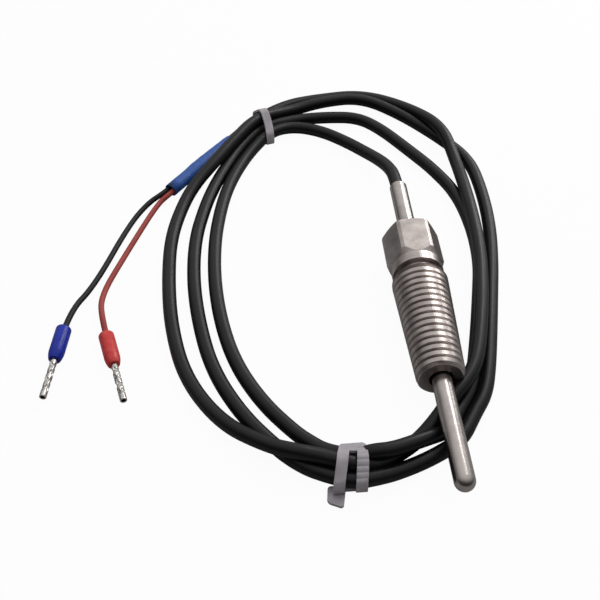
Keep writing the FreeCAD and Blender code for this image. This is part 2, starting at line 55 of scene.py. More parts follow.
# %% Camera at the photograph's angle
CAMERA_PLACE = Vector((-44.7, -180.3, 177.8)) * MM
LOOKING_DOWN, TURNED_RIGHT = math.radians(45.6), math.radians(4.08)
LENS_MM = 57.0
NEAREST, FURTHEST = 0.01, 10
camera = bpy.data.objects.new("camera", bpy.data.cameras.new("camera"))
bpy.context.scene.collection.objects.link(camera)
camera.location = CAMERA_PLACE
camera.rotation_euler = (math.pi / 2 - LOOKING_DOWN, 0, -TURNED_RIGHT)
camera.data.lens = LENS_MM
camera.data.clip_start, camera.data.clip_end = NEAREST, FURTHEST
bpy.context.scene.camera = camera
print("camera", [round(v, 3) for v in camera.location])

# %% [markdown]
# ## Helpers for materials
#
# Colours are written as the sRGB hex values that a colour picker shows. Blender's shaders want
# linear light, so one function turns them. Another function adds a node and sets it up in one line.

# %% Colour and node helpers
def colour(hex_value):
    """An sRGB hex colour as linear red, green, blue and alpha."""
    parts = [int(hex_value[i : i + 2], 16) / 255 for i in (1, 3, 5)]
    return [p / 12.92 if p <= 0.04045 else ((p + 0.055) / 1.055) ** 2.4 for p in parts] + [1.0]


def add(tree, kind, settings=None, inputs=None):
    """Add a shader node, set its properties, and give its inputs values or sockets to read."""
    node = tree.nodes.new("ShaderNode" + kind)
    for name, value in (settings or {}).items():
        setattr(node, name, value)
    for name, value in (inputs or {}).items():
        if isinstance(value, bpy.types.NodeSocket):
            tree.links.new(value, node.inputs[name])
        else:
            node.inputs[name].default_value = value
    return node


def ramp(tree, factor, stops):
    """A colour ramp with (position, hex colour) stops."""
    node = add(tree, "ValToRGB", inputs={"Fac": factor})
    while len(node.color_ramp.elements) < len(stops):
        node.color_ramp.elements.new(0.5)
    for element, (position, hex_value) in zip(node.color_ramp.elements, stops):
        element.position, element.color = position, colour(hex_value)
    return node.outputs["Color"]


def new_material(name):
    """An empty material, its node tree and its Principled shader."""
    material = bpy.data.materials.new(name)
    material.use_nodes = True
    tree = material.node_tree
    return material, tree, tree.nodes["Principled BSDF"]


def place(tree, scale=(1, 1, 1)):
    """Object coordinates in millimetres, stretched by a scale for each axis."""
    where = add(tree, "TexCoord").outputs["Object"]
    sizes = [s / MM for s in scale]
    return add(tree, "Mapping", inputs={"Vector": where, "Scale": sizes}).outputs["Vector"]


# %% [markdown]
# ## The cable's material
#
# The jacket is extruded PVC: nearly black, satin, with the very slight waviness that an extruded
# surface keeps. The waviness breaks up the long highlights, so it matters more than the colour. The
# real grain is a few hundredths of a millimetre; it is drawn at 0.7 mm, the finest that shows here.

# %% Extruded PVC
BLOTCHES_PER_MM = 0.09


def pvc_jacket(name, dark, light, roughness=0.38, grain_mm=0.7):
    """Satin plastic with a fine grain in its gloss and its relief, and a slow change of shade."""
    material, tree, shader = new_material(name)
    grain = add(tree, "TexNoise", inputs={"Vector": place(tree), "Scale": 1 / grain_mm, "Detail": 3.0})
    broad = add(tree, "TexNoise", inputs={"Vector": place(tree), "Scale": BLOTCHES_PER_MM, "Detail": 2.0})
    tint = ramp(tree, broad.outputs["Fac"], [(0.35, dark), (0.65, light)])
    tree.links.new(tint, shader.inputs["Base Color"])
    low, high = roughness - 0.05, roughness + 0.09
    rough = add(tree, "MapRange", inputs={"Value": grain.outputs["Fac"], "To Min": low, "To Max": high})
    tree.links.new(rough.outputs["Result"], shader.inputs["Roughness"])
    bump = add(tree, "Bump", inputs={"Height": grain.outputs["Fac"], "Strength": 0.2, "Distance": 0.05 * MM})
    tree.links.new(bump.outputs["Normal"], shader.inputs["Normal"])
    shader.inputs["IOR"].default_value = 1.5
    shader.inputs["Specular IOR Level"].default_value = 0.36
    return material


BLACK_JACKET = pvc_jacket("black_pvc_extruded_satin", "#09090B", "#121215")

# %% [markdown]
# ## The cable
#
# The cable is one NURBS curve with a round bevel. It leaves the tube, makes three turns and ends in
# the heat-shrink. The turns are a loop over stations round the coil: at each station the second
# turn goes through the point, the first and the third lie so far to its sides, and each turn has
# its height above the floor. The turns cross at the right and under the lower tie, as they do where
# a coil has been handled, and where two cross, one rises over the other.

# %% Route of the cable
FLOOR = -7.55
CABLE_R = 1.9
LYING = FLOOR + CABLE_R
SHRINK_LIE = FLOOR + 2.3
LEAVING_HEIGHT, LEAVING_OUTWARDS = 3.0, 3.9
ENTRY_ROUTE = [
    (0, 24.5, 0),
    (-0.1, 42.8, 0),
    (-1.2, 49.4, -1.2),
    (-3.4, 55.6, -2.9),
    (-6.8, 61.8, -4.5),
    (-11.8, 68.8, LYING + 0.1),
    (-19.6, 75.6, LYING),
    (-28.5, 78.8, LYING),
]
TAIL_ROUTE = [
    (-46.4, 74.6, SHRINK_LIE),
    (-51.4, 68.4, SHRINK_LIE),
    (-59.1, 59.2, SHRINK_LIE),
    (-67.8, 47.9, SHRINK_LIE),
]
# x and y of the second turn, how far inwards the first and outwards the third turn lies from it,
# and the heights of the three turns' centres above the floor
STATIONS = [
    (-39.2, 77.6, 3.9, 1.6, 3.0, 3.0, 6.1),
    (-46.9, 67.3, 3.9, 1.2, 1.9, 1.9, 5.4),
    (-51.8, 56.5, 3.9, 2.9, 1.9, 1.9, 4.6),
    (-55.0, 48.0, 4.3, 5.3, 1.9, 1.9, 3.4),
    (-57.6, 39.0, 4.9, 6.6, 1.9, 1.9, 2.4),
    (-60.3, 25.5, 5.7, 7.1, 1.9, 1.9, 1.9),
    (-60.8, 9.0, 5.8, 6.8, 1.9, 1.9, 1.9),
    (-59.2, -7.5, 5.7, 7.3, 1.9, 1.9, 1.9),
    (-55.8, -24.0, 6.0, 7.2, 1.9, 1.9, 1.9),
    (-49.0, -38.5, 6.1, 5.6, 1.9, 1.9, 2.4),
    (-41.0, -49.0, 6.1, 2.4, 1.9, 1.9, 5.0),
    (-36.8, -53.2, 6.3, -0.2, 1.9, 1.9, 5.7),
    (-32.5, -56.4, 6.1, -2.6, 2.1, 2.1, 4.9),
    (-24.0, -60.4, 6.4, -3.4, 3.5, 2.85, 4.9),
    (-18.0, -59.3, 5.1, -3.2, 5.6, 2.5, 2.7),
    (-12.9, -57.7, 3.6, -3.9, 5.8, 1.9, 1.9),
    (-5.0, -54.6, 3.6, -5.6, 5.2, 1.9, 1.9),
    (2.9, -50.0, 3.7, -7.3, 2.2, 1.9, 3.8),
    (7.2, -42.8, 3.6, -6.0, 1.9, 1.9, 5.4),
    (11.2, -36.9, 3.6, -4.8, 1.9, 1.9, 5.5),
    (13.8, -29.0, 3.6, -3.3, 1.9, 1.9, 5.6),
    (17.0, -16.0, 3.4, -2.9, 1.9, 1.9, 5.6),
    (20.0, -3.0, 3.3, -3.0, 1.9, 1.9, 5.6),
    (23.0, 10.0, 3.4, -3.8, 1.9, 1.9, 5.5),
    (25.6, 25.0, 5.3, -5.4, 1.9, 1.9, 5.7),
    (26.6, 41.0, 8.0, -5.9, 1.9, 1.9, 4.9),
    (25.8, 57.0, 13.0, -5.1, 1.9, 1.9, 3.2),
    (18.6, 69.1, 12.6, 0.4, 1.9, 1.9, 6.3),
    (7.6, 83.4, 11.0, 4.3, 1.9, 1.9, 2.2),
    (-4.7, 91.6, 9.6, 4.05, 1.9, 3.5, 1.9),
    (-18.4, 89.6, 6.6, 4.3, 1.9, 3.7, 1.9),
    (-28.6, 86.2, 4.2, 4.3, 1.9, 2.9, 2.6),
]


def outward(index):
    """The level direction away from the coil's middle at a station."""
    before, after = STATIONS[index - 1], STATIONS[(index + 1) % len(STATIONS)]
    return Vector((after[1] - before[1], before[0] - after[0], 0)).normalized()


def turn_point(index, turn):
    """Where one of the three turns passes a station."""
    x, y, inwards, outwards, *heights = STATIONS[index]
    aside = (-inwards, 0, outwards)[turn]
    return Vector((x, y, FLOOR + heights[turn])) + outward(index) * aside


cable_points = [Vector(p) for p in ENTRY_ROUTE]
for turn in range(3):
    cable_points += [turn_point(i, turn) for i in range(len(STATIONS))]
leaving = Vector((*STATIONS[0][:2], FLOOR + LEAVING_HEIGHT))
cable_points.append(leaving + outward(0) * LEAVING_OUTWARDS)
cable_points += [Vector(p) for p in TAIL_ROUTE]


# %% Curves for cords
def cord_curve(name, points, radius, material, around=10):
    """A round cord along a smooth NURBS line whose control points are in millimetres."""
    data = bpy.data.curves.new(name, "CURVE")
    data.dimensions = "3D"
    line = data.splines.new("NURBS")
    line.points.add(len(points) - 1)
    for spot, point in zip(line.points, points):
        spot.co = (*(Vector(point) * MM), 1)
    line.order_u = 3
    line.use_endpoint_u = True
    data.resolution_u = 8
    data.bevel_depth, data.bevel_resolution = radius * MM, around
    data.use_fill_caps = True
    data.materials.append(material)
    piece = bpy.data.objects.new(name, data)
    bpy.context.scene.collection.objects.link(piece)
    return piece


def centre_line(piece):
    """The points of a cord's smooth line, read from its curve with the bevel off."""
    bare = piece.copy()
    bare.data = piece.data.copy()
    bare.data.bevel_depth = 0
    mesh = bpy.data.meshes.new_from_object(bare)
    line = [v.co.copy() for v in mesh.vertices]
    bpy.data.meshes.remove(mesh)
    bpy.data.curves.remove(bare.data)
    return line


def line_length(line):
    """The length of a line of points."""
    return sum((b - a).length for a, b in zip(line, line[1:]))


cable = cord_curve("cable", cable_points, CABLE_R, BLACK_JACKET)
cable_line = centre_line(cable)
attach(cable, "root")
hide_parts("cable_entry", "cable_coil", "cable_tail")
print("cable length in mm:", round(line_length(cable_line) / MM))

# %% [markdown]
# ## Sweeping a tube along a line
#
# The heat-shrink follows the cable's line and changes its thickness on the way. A circle is
# extruded from station to station, and each new ring is moved, turned and scaled to its place.

# %% Sweep helper
def mesh_piece(name, bm, material, smooth=True):
    """Make an object of a finished bmesh, riding on the part."""
    mesh = bpy.data.meshes.new(name)
    for face in bm.faces:
        face.smooth = smooth
    bm.to_mesh(mesh)
    bm.free()
    mesh.materials.append(material)
    piece = bpy.data.objects.new(name, mesh)
    bpy.context.scene.collection.objects.link(piece)
    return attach(piece, "root")


def sweep(line, radius_at, wall, recess, sides=32):
    """A closed tube along points with a sunk mouth; radius_at(share, angle) is its radius in metres."""
    bm = bmesh.new()
    ring = bmesh.ops.create_circle(bm, cap_ends=True, segments=sides, radius=1)["verts"]
    frames = []
    for i, point in enumerate(line):
        way = (line[min(i + 1, len(line) - 1)] - line[max(i - 1, 0)]).normalized()
        side = way.cross(Vector((0, 0, 1))).normalized()
        frames.append((point, side, side.cross(way)))
    angles = [math.atan2(v.co.y, v.co.x) for v in ring]
    for i, (point, side, up) in enumerate(frames):
        if i:
            edges = [e for e in bm.edges if e.verts[0] in ring and e.verts[1] in ring]
            grown = bmesh.ops.extrude_edge_only(bm, edges=edges)["geom"]
            fresh = [v for v in grown if isinstance(v, bmesh.types.BMVert)]
            ring = [min(fresh, key=lambda f, v=v: (f.co - v.co).length) for v in ring]
        share = i / (len(frames) - 1)
        for vert, angle in zip(ring, angles):
            reach = radius_at(share, angle)
            vert.co = point + side * (math.cos(angle) * reach) + up * (math.sin(angle) * reach)
    # The last ring's cap is set in twice, so that the mouth has a wall and a step down inside it.
    cap = bmesh.ops.contextual_create(bm, geom=ring)["faces"]
    bmesh.ops.inset_region(bm, faces=cap, thickness=wall)
    bmesh.ops.inset_region(bm, faces=cap, thickness=wall / 10)
    way = (line[-1] - line[-2]).normalized()
    bmesh.ops.translate(bm, vec=way * -recess, verts=list({v for f in cap for v in f.verts}))
    bmesh.ops.recalc_face_normals(bm, faces=bm.faces)
    return bm


def part_of(line, begin, end):
    """The points of a line between two distances from its start, with both ends put in."""
    kept, at = [], 0.0
    for a, b in zip(line, line[1:]):
        step = (b - a).length
        for mark in (begin, end):
            if at < mark <= at + step:
                kept.append(a.lerp(b, (mark - at) / step))
        if begin < at + step < end:
            kept.append(b.copy())
        at += step
    return kept


# %% [markdown]
# ## Heat-shrink
#
# Blue polyolefin tubing, shrunk over the end of the jacket and the two leads. It is matte, it dips
# where the jacket ends inside it, and its mouth is a thin wall. Heat leaves its skin finely
# mottled, which keeps the highlight on it wide and soft.

# %% Matte blue polyolefin
def shrink_material():
    """Matte plastic with a fine mottling in its colour and its relief."""
    material, tree, shader = new_material("blue_polyolefin_shrunk_matte")
    fine = add(tree, "TexNoise", inputs={"Vector": place(tree), "Scale": 1.2, "Detail": 4.0})
    tint = ramp(tree, fine.outputs["Fac"], [(0.3, "#2A58A8"), (0.7, "#3C70C8")])
    tree.links.new(tint, shader.inputs["Base Color"])
    shader.inputs["Roughness"].default_value = 0.5
    bump = add(tree, "Bump", inputs={"Height": fine.outputs["Fac"], "Strength": 0.3, "Distance": 0.08 * MM})
    tree.links.new(bump.outputs["Normal"], shader.inputs["Normal"])
    return material


SHRINK_LENGTH, JACKET_IN_SHRINK = 30.0, 22.5
SHRINK_R, SHRINK_DIP, SHRINK_OVAL, SHRINK_RIPPLE = 2.25, 0.25, 0.1, 0.025
DIP_FROM, DIP_OVER = 0.74, 0.1
EDGE_DROP, EDGE_OVER = 0.12, 0.03
RIPPLE_TURN = 41
SHRINK_WALL, SHRINK_RECESS = 0.4, 1.2
whole = line_length(cable_line)
shrink_line = part_of(cable_line, whole - SHRINK_LENGTH * MM, whole)


def shrink_radius(share, angle):
    """Snug on the jacket, a dip past its end, and a slightly oval mouth over the two leads."""
    past = min(max((share - DIP_FROM) / DIP_OVER, 0), 1)
    dip = SHRINK_DIP * past * past * (3 - 2 * past)
    start = EDGE_DROP * max(0, 1 - share / EDGE_OVER)
    oval = SHRINK_OVAL * past * math.cos(2 * angle)
    ripple = SHRINK_RIPPLE * math.sin(share * RIPPLE_TURN + 2 * math.sin(angle))
    return (SHRINK_R - dip - start + oval + ripple) * MM


shrink_mesh = sweep(shrink_line, shrink_radius, SHRINK_WALL * MM, SHRINK_RECESS * MM)
heat_shrink = mesh_piece("blue_heat_shrink", shrink_mesh, shrink_material())
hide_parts("heat_shrink")
print("heat-shrink points:", len(shrink_line))

# %% [markdown]
# ## Leads
#
# The two cores leave the heat-shrink side by side, in black and in red insulation, and each runs
# into its own ferrule. Their insulation is the jacket's PVC with a finer grain and a little less
# gloss, so the highlights on them are thin and broken.

# %% Two leads
LEAD_R, LEAD_SPACING = 0.8, 1.7
LEAD_BEVEL_STEPS = 6
COLLAR_R = 2.05
LEAD_LIE, FERRULE_LIE = FLOOR + LEAD_R, FLOOR + COLLAR_R
PAST_SHRINK, BEFORE_COLLAR, INTO_COLLAR = 2, 6, 5
BLACK_LEAD = pvc_jacket("black_pvc_lead_insulation", "#0E0E10", "#17171A", 0.44, 0.4)
RED_LEAD = pvc_jacket("red_pvc_lead_insulation", "#A83C36", "#BC4E46", 0.46, 0.4)
BLACK_BENDS = [
    (-74.6, 43.6, LEAD_LIE + 0.5),
    (-80.0, 34.0, LEAD_LIE),
    (-88.0, 9.0, LEAD_LIE + 0.3),
]
RED_BENDS = [
    (-71.9, 42.6, LEAD_LIE + 0.5),
    (-80.6, 20.4, LEAD_LIE),
    (-85.9, 5.0, LEAD_LIE + 0.3),
]
# The lead's node, its finish, its side of the cable, its bends, and the collar's mouth and direction
FERRULES = {
    "blue": ("black_lead", BLACK_LEAD, 1, BLACK_BENDS, (-94.4, -7.3, FERRULE_LIE), (-0.127, -0.992, 0)),
    "red": ("red_lead", RED_LEAD, -1, RED_BENDS, (-83.3, -10.3, FERRULE_LIE), (0.256, -0.967, 0)),
}
shrink_end = Vector(TAIL_ROUTE[-1])
shrink_way = (shrink_end - Vector(TAIL_ROUTE[-2])).normalized()
shrink_across = Vector((shrink_way.y, -shrink_way.x, 0))
leads = {}
for tint, (lead_name, finish, side, bends, mouth, way) in FERRULES.items():
    offset = shrink_across * side * LEAD_SPACING / 2
    mouth, way = Vector(mouth), Vector(way).normalized()
    route = [shrink_end - shrink_way * (SHRINK_LENGTH - JACKET_IN_SHRINK) + offset]
    route += [shrink_end + shrink_way * PAST_SHRINK + offset, *[Vector(b) for b in bends]]
    route += [mouth - way * BEFORE_COLLAR, mouth + way * INTO_COLLAR]
    leads[tint] = cord_curve("lead_" + lead_name.split("_")[0], route, LEAD_R, finish, LEAD_BEVEL_STEPS)
    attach(leads[tint], "root")
    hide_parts(lead_name)
    print(lead_name, "length in mm:", round(line_length(centre_line(leads[tint])) / MM, 1))

# %% [markdown]
# ## Turned pieces
#
# A ferrule's collar and pin come from a closed half profile: a wire of a few vertices whose corners
# are rounded, spun about the Y axis.

# %% Lathe helper
def turned(points, sides=48):
    """Spin a profile about the Y axis. A point is (radius, along) or (radius, along, rounding)."""
    bm = bmesh.new()
    corners = [bm.verts.new((p[0] * MM, p[1] * MM, 0)) for p in points]
    for a, b in zip(corners, corners[1:] + corners[:1]):
        bm.edges.new((a, b))
    for vert, point in zip(corners, points):
        if len(point) == 3:
            bmesh.ops.bevel(
                bm, geom=[vert], offset=point[2] * MM, affect="VERTICES", segments=4, profile=0.5,
                material=-1,
            )
    bmesh.ops.spin(
        bm, geom=bm.verts[:] + bm.edges[:], cent=(0, 0, 0), axis=(0, 1, 0), angle=2 * math.pi,
        steps=sides, use_merge=True,
    )
    bmesh.ops.remove_doubles(bm, verts=bm.verts, dist=0.002 * MM)
    bmesh.ops.recalc_face_normals(bm, faces=bm.faces)
    return bm


def lay_down(bm, mouth, way):
    """Turn a piece made along -Y from the origin so that it starts at mouth and points along way."""
    turn = Vector((0, -1, 0)).rotation_difference(way).to_matrix().to_4x4()
    bmesh.ops.transform(bm, matrix=Matrix.Translation(mouth * MM) @ turn, verts=bm.verts)


# %% [markdown]
# ## Ferrule materials
#
# The collars are injection-moulded polypropylene, saturated and slightly translucent at their rims,
# with a smooth skin that gives a soft streak along them. The pins are copper tube with bright tin
# plating, which the crimping tool has pressed into facets, so they glitter. The strands inside are
# bare copper, duller and brown.

# %% Polypropylene, tin and copper
def moulded_plastic(name, dark, light):
    """Glossy plastic that lets a little light in, with a faint moulded skin."""
    material, tree, shader = new_material(name)
    cloud = add(tree, "TexNoise", inputs={"Vector": place(tree), "Scale": 0.5, "Detail": 2.0})
    tint = ramp(tree, cloud.outputs["Fac"], [(0.35, dark), (0.65, light)])
    tree.links.new(tint, shader.inputs["Base Color"])
    skin = add(tree, "TexNoise", inputs={"Vector": place(tree), "Scale": 3.0, "Detail": 2.0})
    bump = add(tree, "Bump", inputs={"Height": skin.outputs["Fac"], "Strength": 0.1, "Distance": 0.03 * MM})
    tree.links.new(bump.outputs["Normal"], shader.inputs["Normal"])
    shader.inputs["Roughness"].default_value = 0.3
    shader.inputs["IOR"].default_value = 1.49
    shader.inputs["Specular IOR Level"].default_value = 0.35
    shader.inputs["Subsurface Weight"].default_value = 0.15
    shader.inputs["Subsurface Radius"].default_value = (0.5 * MM,) * 3
    return material


def plated_metal(name, dark, light, roughness=0.24, grain_mm=0.5):
    """Bright metal whose stains change its colour and its gloss together."""
    material, tree, shader = new_material(name)
    stain = add(tree, "TexNoise", inputs={"Vector": place(tree), "Scale": 1 / grain_mm, "Detail": 4.0})
    tint = ramp(tree, stain.outputs["Fac"], [(0.35, dark), (0.65, light)])
    tree.links.new(tint, shader.inputs["Base Color"])
    rough = add(
        tree, "MapRange",
        inputs={"Value": stain.outputs["Fac"], "To Min": roughness - 0.06, "To Max": roughness + 0.1},
    )
    tree.links.new(rough.outputs["Result"], shader.inputs["Roughness"])
    shader.inputs["Metallic"].default_value = 1.0
    return material


TIN = plated_metal("bright_tin_plating", "#B5B1AC", "#E4E1DB", 0.2)
COPPER = plated_metal("bare_copper_strand", "#9A6A4C", "#C08A68", 0.35)
COLLARS = {
    "blue": moulded_plastic("blue_polypropylene_moulded", "#1029A6", "#1634BC"),
    "red": moulded_plastic("red_polypropylene_moulded", "#E0403E", "#EE5450"),
}

# %% [markdown]
# ## Ferrules
#
# A ferrule has a plastic collar that guides the lead in, and a thin metal tube that the tool
# crimps. The crimp is drawn as it is pressed: rows of slanted dents on four sides, each row turned
# by an eighth from the next, so the tube looks knurled and its tip stays round and open.

# %% Collar and crimped pin
PIN_R, PIN_BORE_R = 0.9, 0.6
PIN_BACK, PIN_TIP, PIN_FACE = -5.5, -23.0, -11.0
PIN_SIDES, PIN_CUTS = 72, 110
CRIMP_PITCH, CRIMP_ROWS, CRIMP_START, CRIMP_DEPTH = 2.4, 4, 0.9, 0.3
CRIMP_SLANT, CRIMP_STEEPNESS, CRIMP_NARROWING = 0.5, 2.2, 0.85
COLLAR_PROFILE = [
    (0.85, 0, 0.15), (COLLAR_R, 0, 0.6), (COLLAR_R, -9.6, 1.3), (1.5, PIN_FACE, 0.55),
    (0.95, PIN_FACE, 0.1), (0.95, PIN_BACK), (0.85, -5.3),
]


def crimp(along, angle):
    """How deep the tool has pressed the tube, from 0 to 1: a slanted lozenge with a flat bottom."""
    row = math.floor(along / CRIMP_PITCH)
    if not 0 <= row < CRIMP_ROWS:
        return 0.0
    lengthways = 2 * (along / CRIMP_PITCH - row) - 1
    turned_angle = angle + math.pi / 4 * row + CRIMP_SLANT * lengthways
    quarter = (turned_angle / (math.pi / 2) + 0.5) % 1
    sideways = abs(2 * quarter - 1)
    return min(1.0, max(0.0, CRIMP_STEEPNESS * (1 - abs(lengthways) - CRIMP_NARROWING * sideways)))


def pin_mesh():
    """An open tube, cut finely along its length and then dented by the crimp."""
    bm = turned(
        [(PIN_R, PIN_BACK), (PIN_R, PIN_TIP, 0.08), (PIN_BORE_R, PIN_TIP, 0.05), (PIN_BORE_R, PIN_BACK)],
        sides=PIN_SIDES,
    )
    long_edges = [e for e in bm.edges if abs(e.verts[0].co.y - e.verts[1].co.y) > 5 * MM]
    bmesh.ops.subdivide_edges(bm, edges=long_edges, cuts=PIN_CUTS, use_grid_fill=True)
    for vert in bm.verts:
        reach = math.hypot(vert.co.x, vert.co.z)
        dent = crimp(PIN_FACE - CRIMP_START - vert.co.y / MM, math.atan2(vert.co.z, vert.co.x))
        vert.co.x *= 1 - dent * CRIMP_DEPTH * MM / reach
        vert.co.z *= 1 - dent * CRIMP_DEPTH * MM / reach
    return bm


for tint, (*_, mouth, way) in FERRULES.items():
    for part, bm, material in (
        ("collar_moulded", turned(COLLAR_PROFILE), COLLARS[tint]),
        ("pin_crimped", pin_mesh(), TIN),
    ):
        lay_down(bm, Vector(mouth), Vector(way).normalized())
        mesh_piece(tint + "_" + part, bm, material)
    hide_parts(tint + "_ferrule_sleeve")
    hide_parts(tint + "_ferrule_pin")
    strands = nodes[tint + "_ferrule_strands"]
    strands.data.materials.clear()
    strands.data.materials.append(COPPER)
    length = line_length(centre_line(leads[tint]))

# %% [markdown]
# ## Steel materials
#
# Stainless steel is a warm grey. The tube is drawn and ground, so it has fine rings that draw the
# highlight out along it. The fitting is turned from bar and keeps the tool's feed marks, which make
# it duller. Both sets of rings are drawn several times coarser than the real ones, so that they show.

# %% Stainless steel
ROUND_SHARE = 0.06  # the ring pattern changes this much slower across the axis than along it
MOTTLES_PER_MM = 0.35


def steel(name, dark, light, roughness, ring_mm, ring_depth):
    """Metal with fine rings about the Y axis and a little mottling."""
    material, tree, shader = new_material(name)
    stretched = place(tree, (ROUND_SHARE, 1, ROUND_SHARE))
    rings = add(tree, "TexNoise", inputs={"Vector": stretched, "Scale": 1 / ring_mm, "Detail": 2.0})
    mottle = add(tree, "TexNoise", inputs={"Vector": place(tree), "Scale": MOTTLES_PER_MM, "Detail": 5.0})
    tint = ramp(tree, mottle.outputs["Fac"], [(0.3, dark), (0.7, light)])
    tree.links.new(tint, shader.inputs["Base Color"])
    rough = add(
        tree, "MapRange",
        inputs={"Value": mottle.outputs["Fac"], "To Min": roughness - 0.03, "To Max": roughness + 0.05},
    )
    tree.links.new(rough.outputs["Result"], shader.inputs["Roughness"])
    bump = add(
        tree, "Bump",
        inputs={"Height": rings.outputs["Fac"], "Strength": 0.6, "Distance": ring_depth * MM},
    )
    tree.links.new(bump.outputs["Normal"], shader.inputs["Normal"])
    shader.inputs["Metallic"].default_value = 1.0
    return material


TUBE_STEEL = steel("stainless_tube_ground", "#B1A9A5", "#C2BBB6", 0.24, 0.5, 0.01)
FITTING_STEEL = steel("stainless_fitting_turned", "#A59C98", "#C4BCB7", 0.3, 0.35, 0.015)

# %% [markdown]
# ## The threaded fitting
#
# The thread is a real helix: one pitch of its profile is spun with a step forward for each step of
# the turn, the turns are merged, and the radius then shrinks along the axis to give the taper. The
# two ends are cut square with bisect_plane. From there the end ring is extruded round the rest of
# the fitting, through the bore and over the head, and six more cuts mill the hexagon.

# %% Thread and head
PITCH, THREAD_STEPS = 2.0, 72
THREAD_BACK, THREAD_FRONT = -2.0, -35.8
THREAD_R, THREAD_END_R, THREAD_LEAST_R = 7.55, 6.1, 5.0
THREAD_CHAMFER = 0.7
UNDERCUT_R = 5.9
# (along, depth) through one pitch
THREAD_PROFILE = [
    (0, -0.9), (0.08, -0.9), (0.36, -0.07), (0.43, 0), (1.57, 0), (1.64, -0.07), (1.92, -0.9), (PITCH, -0.9),
]
# (radius, along) from the front of the bore, through it and over the head to the undercut
HEAD_PROFILE = [
    (3.1, THREAD_FRONT), (3.1, -31.8), (2.53, -31.8), (2.53, 15.8), (6.8, 15.8), (7.8, 15.3), (7.8, 4.7),
    (6.95, 2.9), (6.95, 0.12), (6.83, 0), (UNDERCUT_R, 0), (UNDERCUT_R, THREAD_BACK),
]
ACROSS_FLATS, FIRST_FLAT = 14.0, 30


def helix():
    """The thread's open shell at full radius, a turn longer than the thread at each end."""
    turns = math.ceil((THREAD_BACK - THREAD_FRONT) / PITCH) + 2
    bm = bmesh.new()
    start = THREAD_BACK + PITCH
    places = [(THREAD_R + depth, start - along) for along, depth in THREAD_PROFILE]
    wire = [bm.verts.new((reach * MM, along * MM, 0)) for reach, along in places]
    for a, b in zip(wire, wire[1:]):
        bm.edges.new((a, b))
    bmesh.ops.spin(
        bm, geom=bm.verts[:] + bm.edges[:], cent=(0, 0, 0), axis=(0, 1, 0), angle=2 * math.pi * turns,
        steps=THREAD_STEPS * turns, dvec=(0, -PITCH / THREAD_STEPS * MM, 0),
    )
    bmesh.ops.remove_doubles(bm, verts=bm.verts, dist=0.01 * MM)
    return bm


def reach_of(vert):
    """How far a vertex stands from the Y axis."""
    return math.hypot(vert.co.x, vert.co.z)


def set_reach(vert, reach):
    """Move a vertex straight out or in to a distance from the Y axis."""
    share = reach / reach_of(vert)
    vert.co.x *= share
    vert.co.z *= share


def taper_thread(bm):
    """Shrink the radius towards the tip, and turn a chamfer on both ends."""
    for vert in bm.verts:
        along = vert.co.y / MM
        share = (THREAD_BACK - along) / (THREAD_BACK - THREAD_FRONT)
        crest = THREAD_R + (THREAD_END_R - THREAD_R) * share
        reach = reach_of(vert) / MM - THREAD_R + crest
        back_limit = THREAD_R - THREAD_CHAMFER + (THREAD_BACK - along)
        front_limit = THREAD_END_R - THREAD_CHAMFER + (along - THREAD_FRONT)
        set_reach(vert, max(min(reach, back_limit, front_limit), THREAD_LEAST_R) * MM)


def end_loop(bm, along):
    """The open edges in the plane that cuts the Y axis at a place."""
    return [e for e in bm.edges if e.is_boundary and all(abs(v.co.y - along * MM) < 1e-6 for v in e.verts)]


def cut_off(bm, faces, plane_co, plane_no):
    """Cut faces with a plane and take away what lies beyond it."""
    verts = dict.fromkeys(v for f in faces for v in f.verts)
    edges = dict.fromkeys(e for f in faces for e in f.edges)
    bmesh.ops.bisect_plane(
        bm, geom=[*verts, *edges, *faces], plane_co=plane_co, plane_no=plane_no, clear_outer=True, dist=1e-7
    )


fitting_mesh = helix()
taper_thread(fitting_mesh)
for along, way in ((THREAD_BACK, 1), (THREAD_FRONT, -1)):
    cut_off(fitting_mesh, fitting_mesh.faces[:], (0, along * MM, 0), (0, way, 0))
loop = end_loop(fitting_mesh, THREAD_FRONT)
print("front loop edges", len(loop), "back loop edges", len(end_loop(fitting_mesh, THREAD_BACK)))
for reach, along in HEAD_PROFILE:
    grown = bmesh.ops.extrude_edge_only(fitting_mesh, edges=loop)["geom"]
    loop = [e for e in grown if isinstance(e, bmesh.types.BMEdge)]
    ring = {v for e in loop for v in e.verts}
    for vert in ring:
        set_reach(vert, reach * MM)
        vert.co.y = along * MM
    loop = [e for e in fitting_mesh.edges if e.verts[0] in ring and e.verts[1] in ring]
# At the back both the undercut's last ring and the thread's cut end are open: they are bridged.
back_loop = [
    e for e in end_loop(fitting_mesh, THREAD_BACK)
    if min(reach_of(v) for v in e.verts) > (UNDERCUT_R + 0.1) * MM
]
bmesh.ops.bridge_loops(fitting_mesh, edges=loop + back_loop)
bmesh.ops.remove_doubles(fitting_mesh, verts=fitting_mesh.verts, dist=0.001 * MM)

for k in range(6):
    angle = math.radians(FIRST_FLAT + 60 * k)
    facing = Vector((math.cos(angle), 0, math.sin(angle)))
    # Only the head is cut, since the thread's first turns stand further out than the flats.
    head = [f for f in fitting_mesh.faces if min(v.co.y for v in f.verts) > -0.1 * MM]
    cut_off(fitting_mesh, head, facing * (ACROSS_FLATS / 2 * MM), facing)
    rim = [e for e in fitting_mesh.edges if e.is_boundary]
    bmesh.ops.edgeloop_fill(fitting_mesh, edges=rim)
print("open edges in the fitting:", sum(not e.is_manifold for e in fitting_mesh.edges))
bmesh.ops.recalc_face_normals(fitting_mesh, faces=fitting_mesh.faces)
fitting = mesh_piece("threaded_fitting_machined", fitting_mesh, FITTING_STEEL, smooth=False)
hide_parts("threaded_fitting")
nodes["sheath_tube"].data.materials.clear()
nodes["sheath_tube"].data.materials.append(TUBE_STEEL)

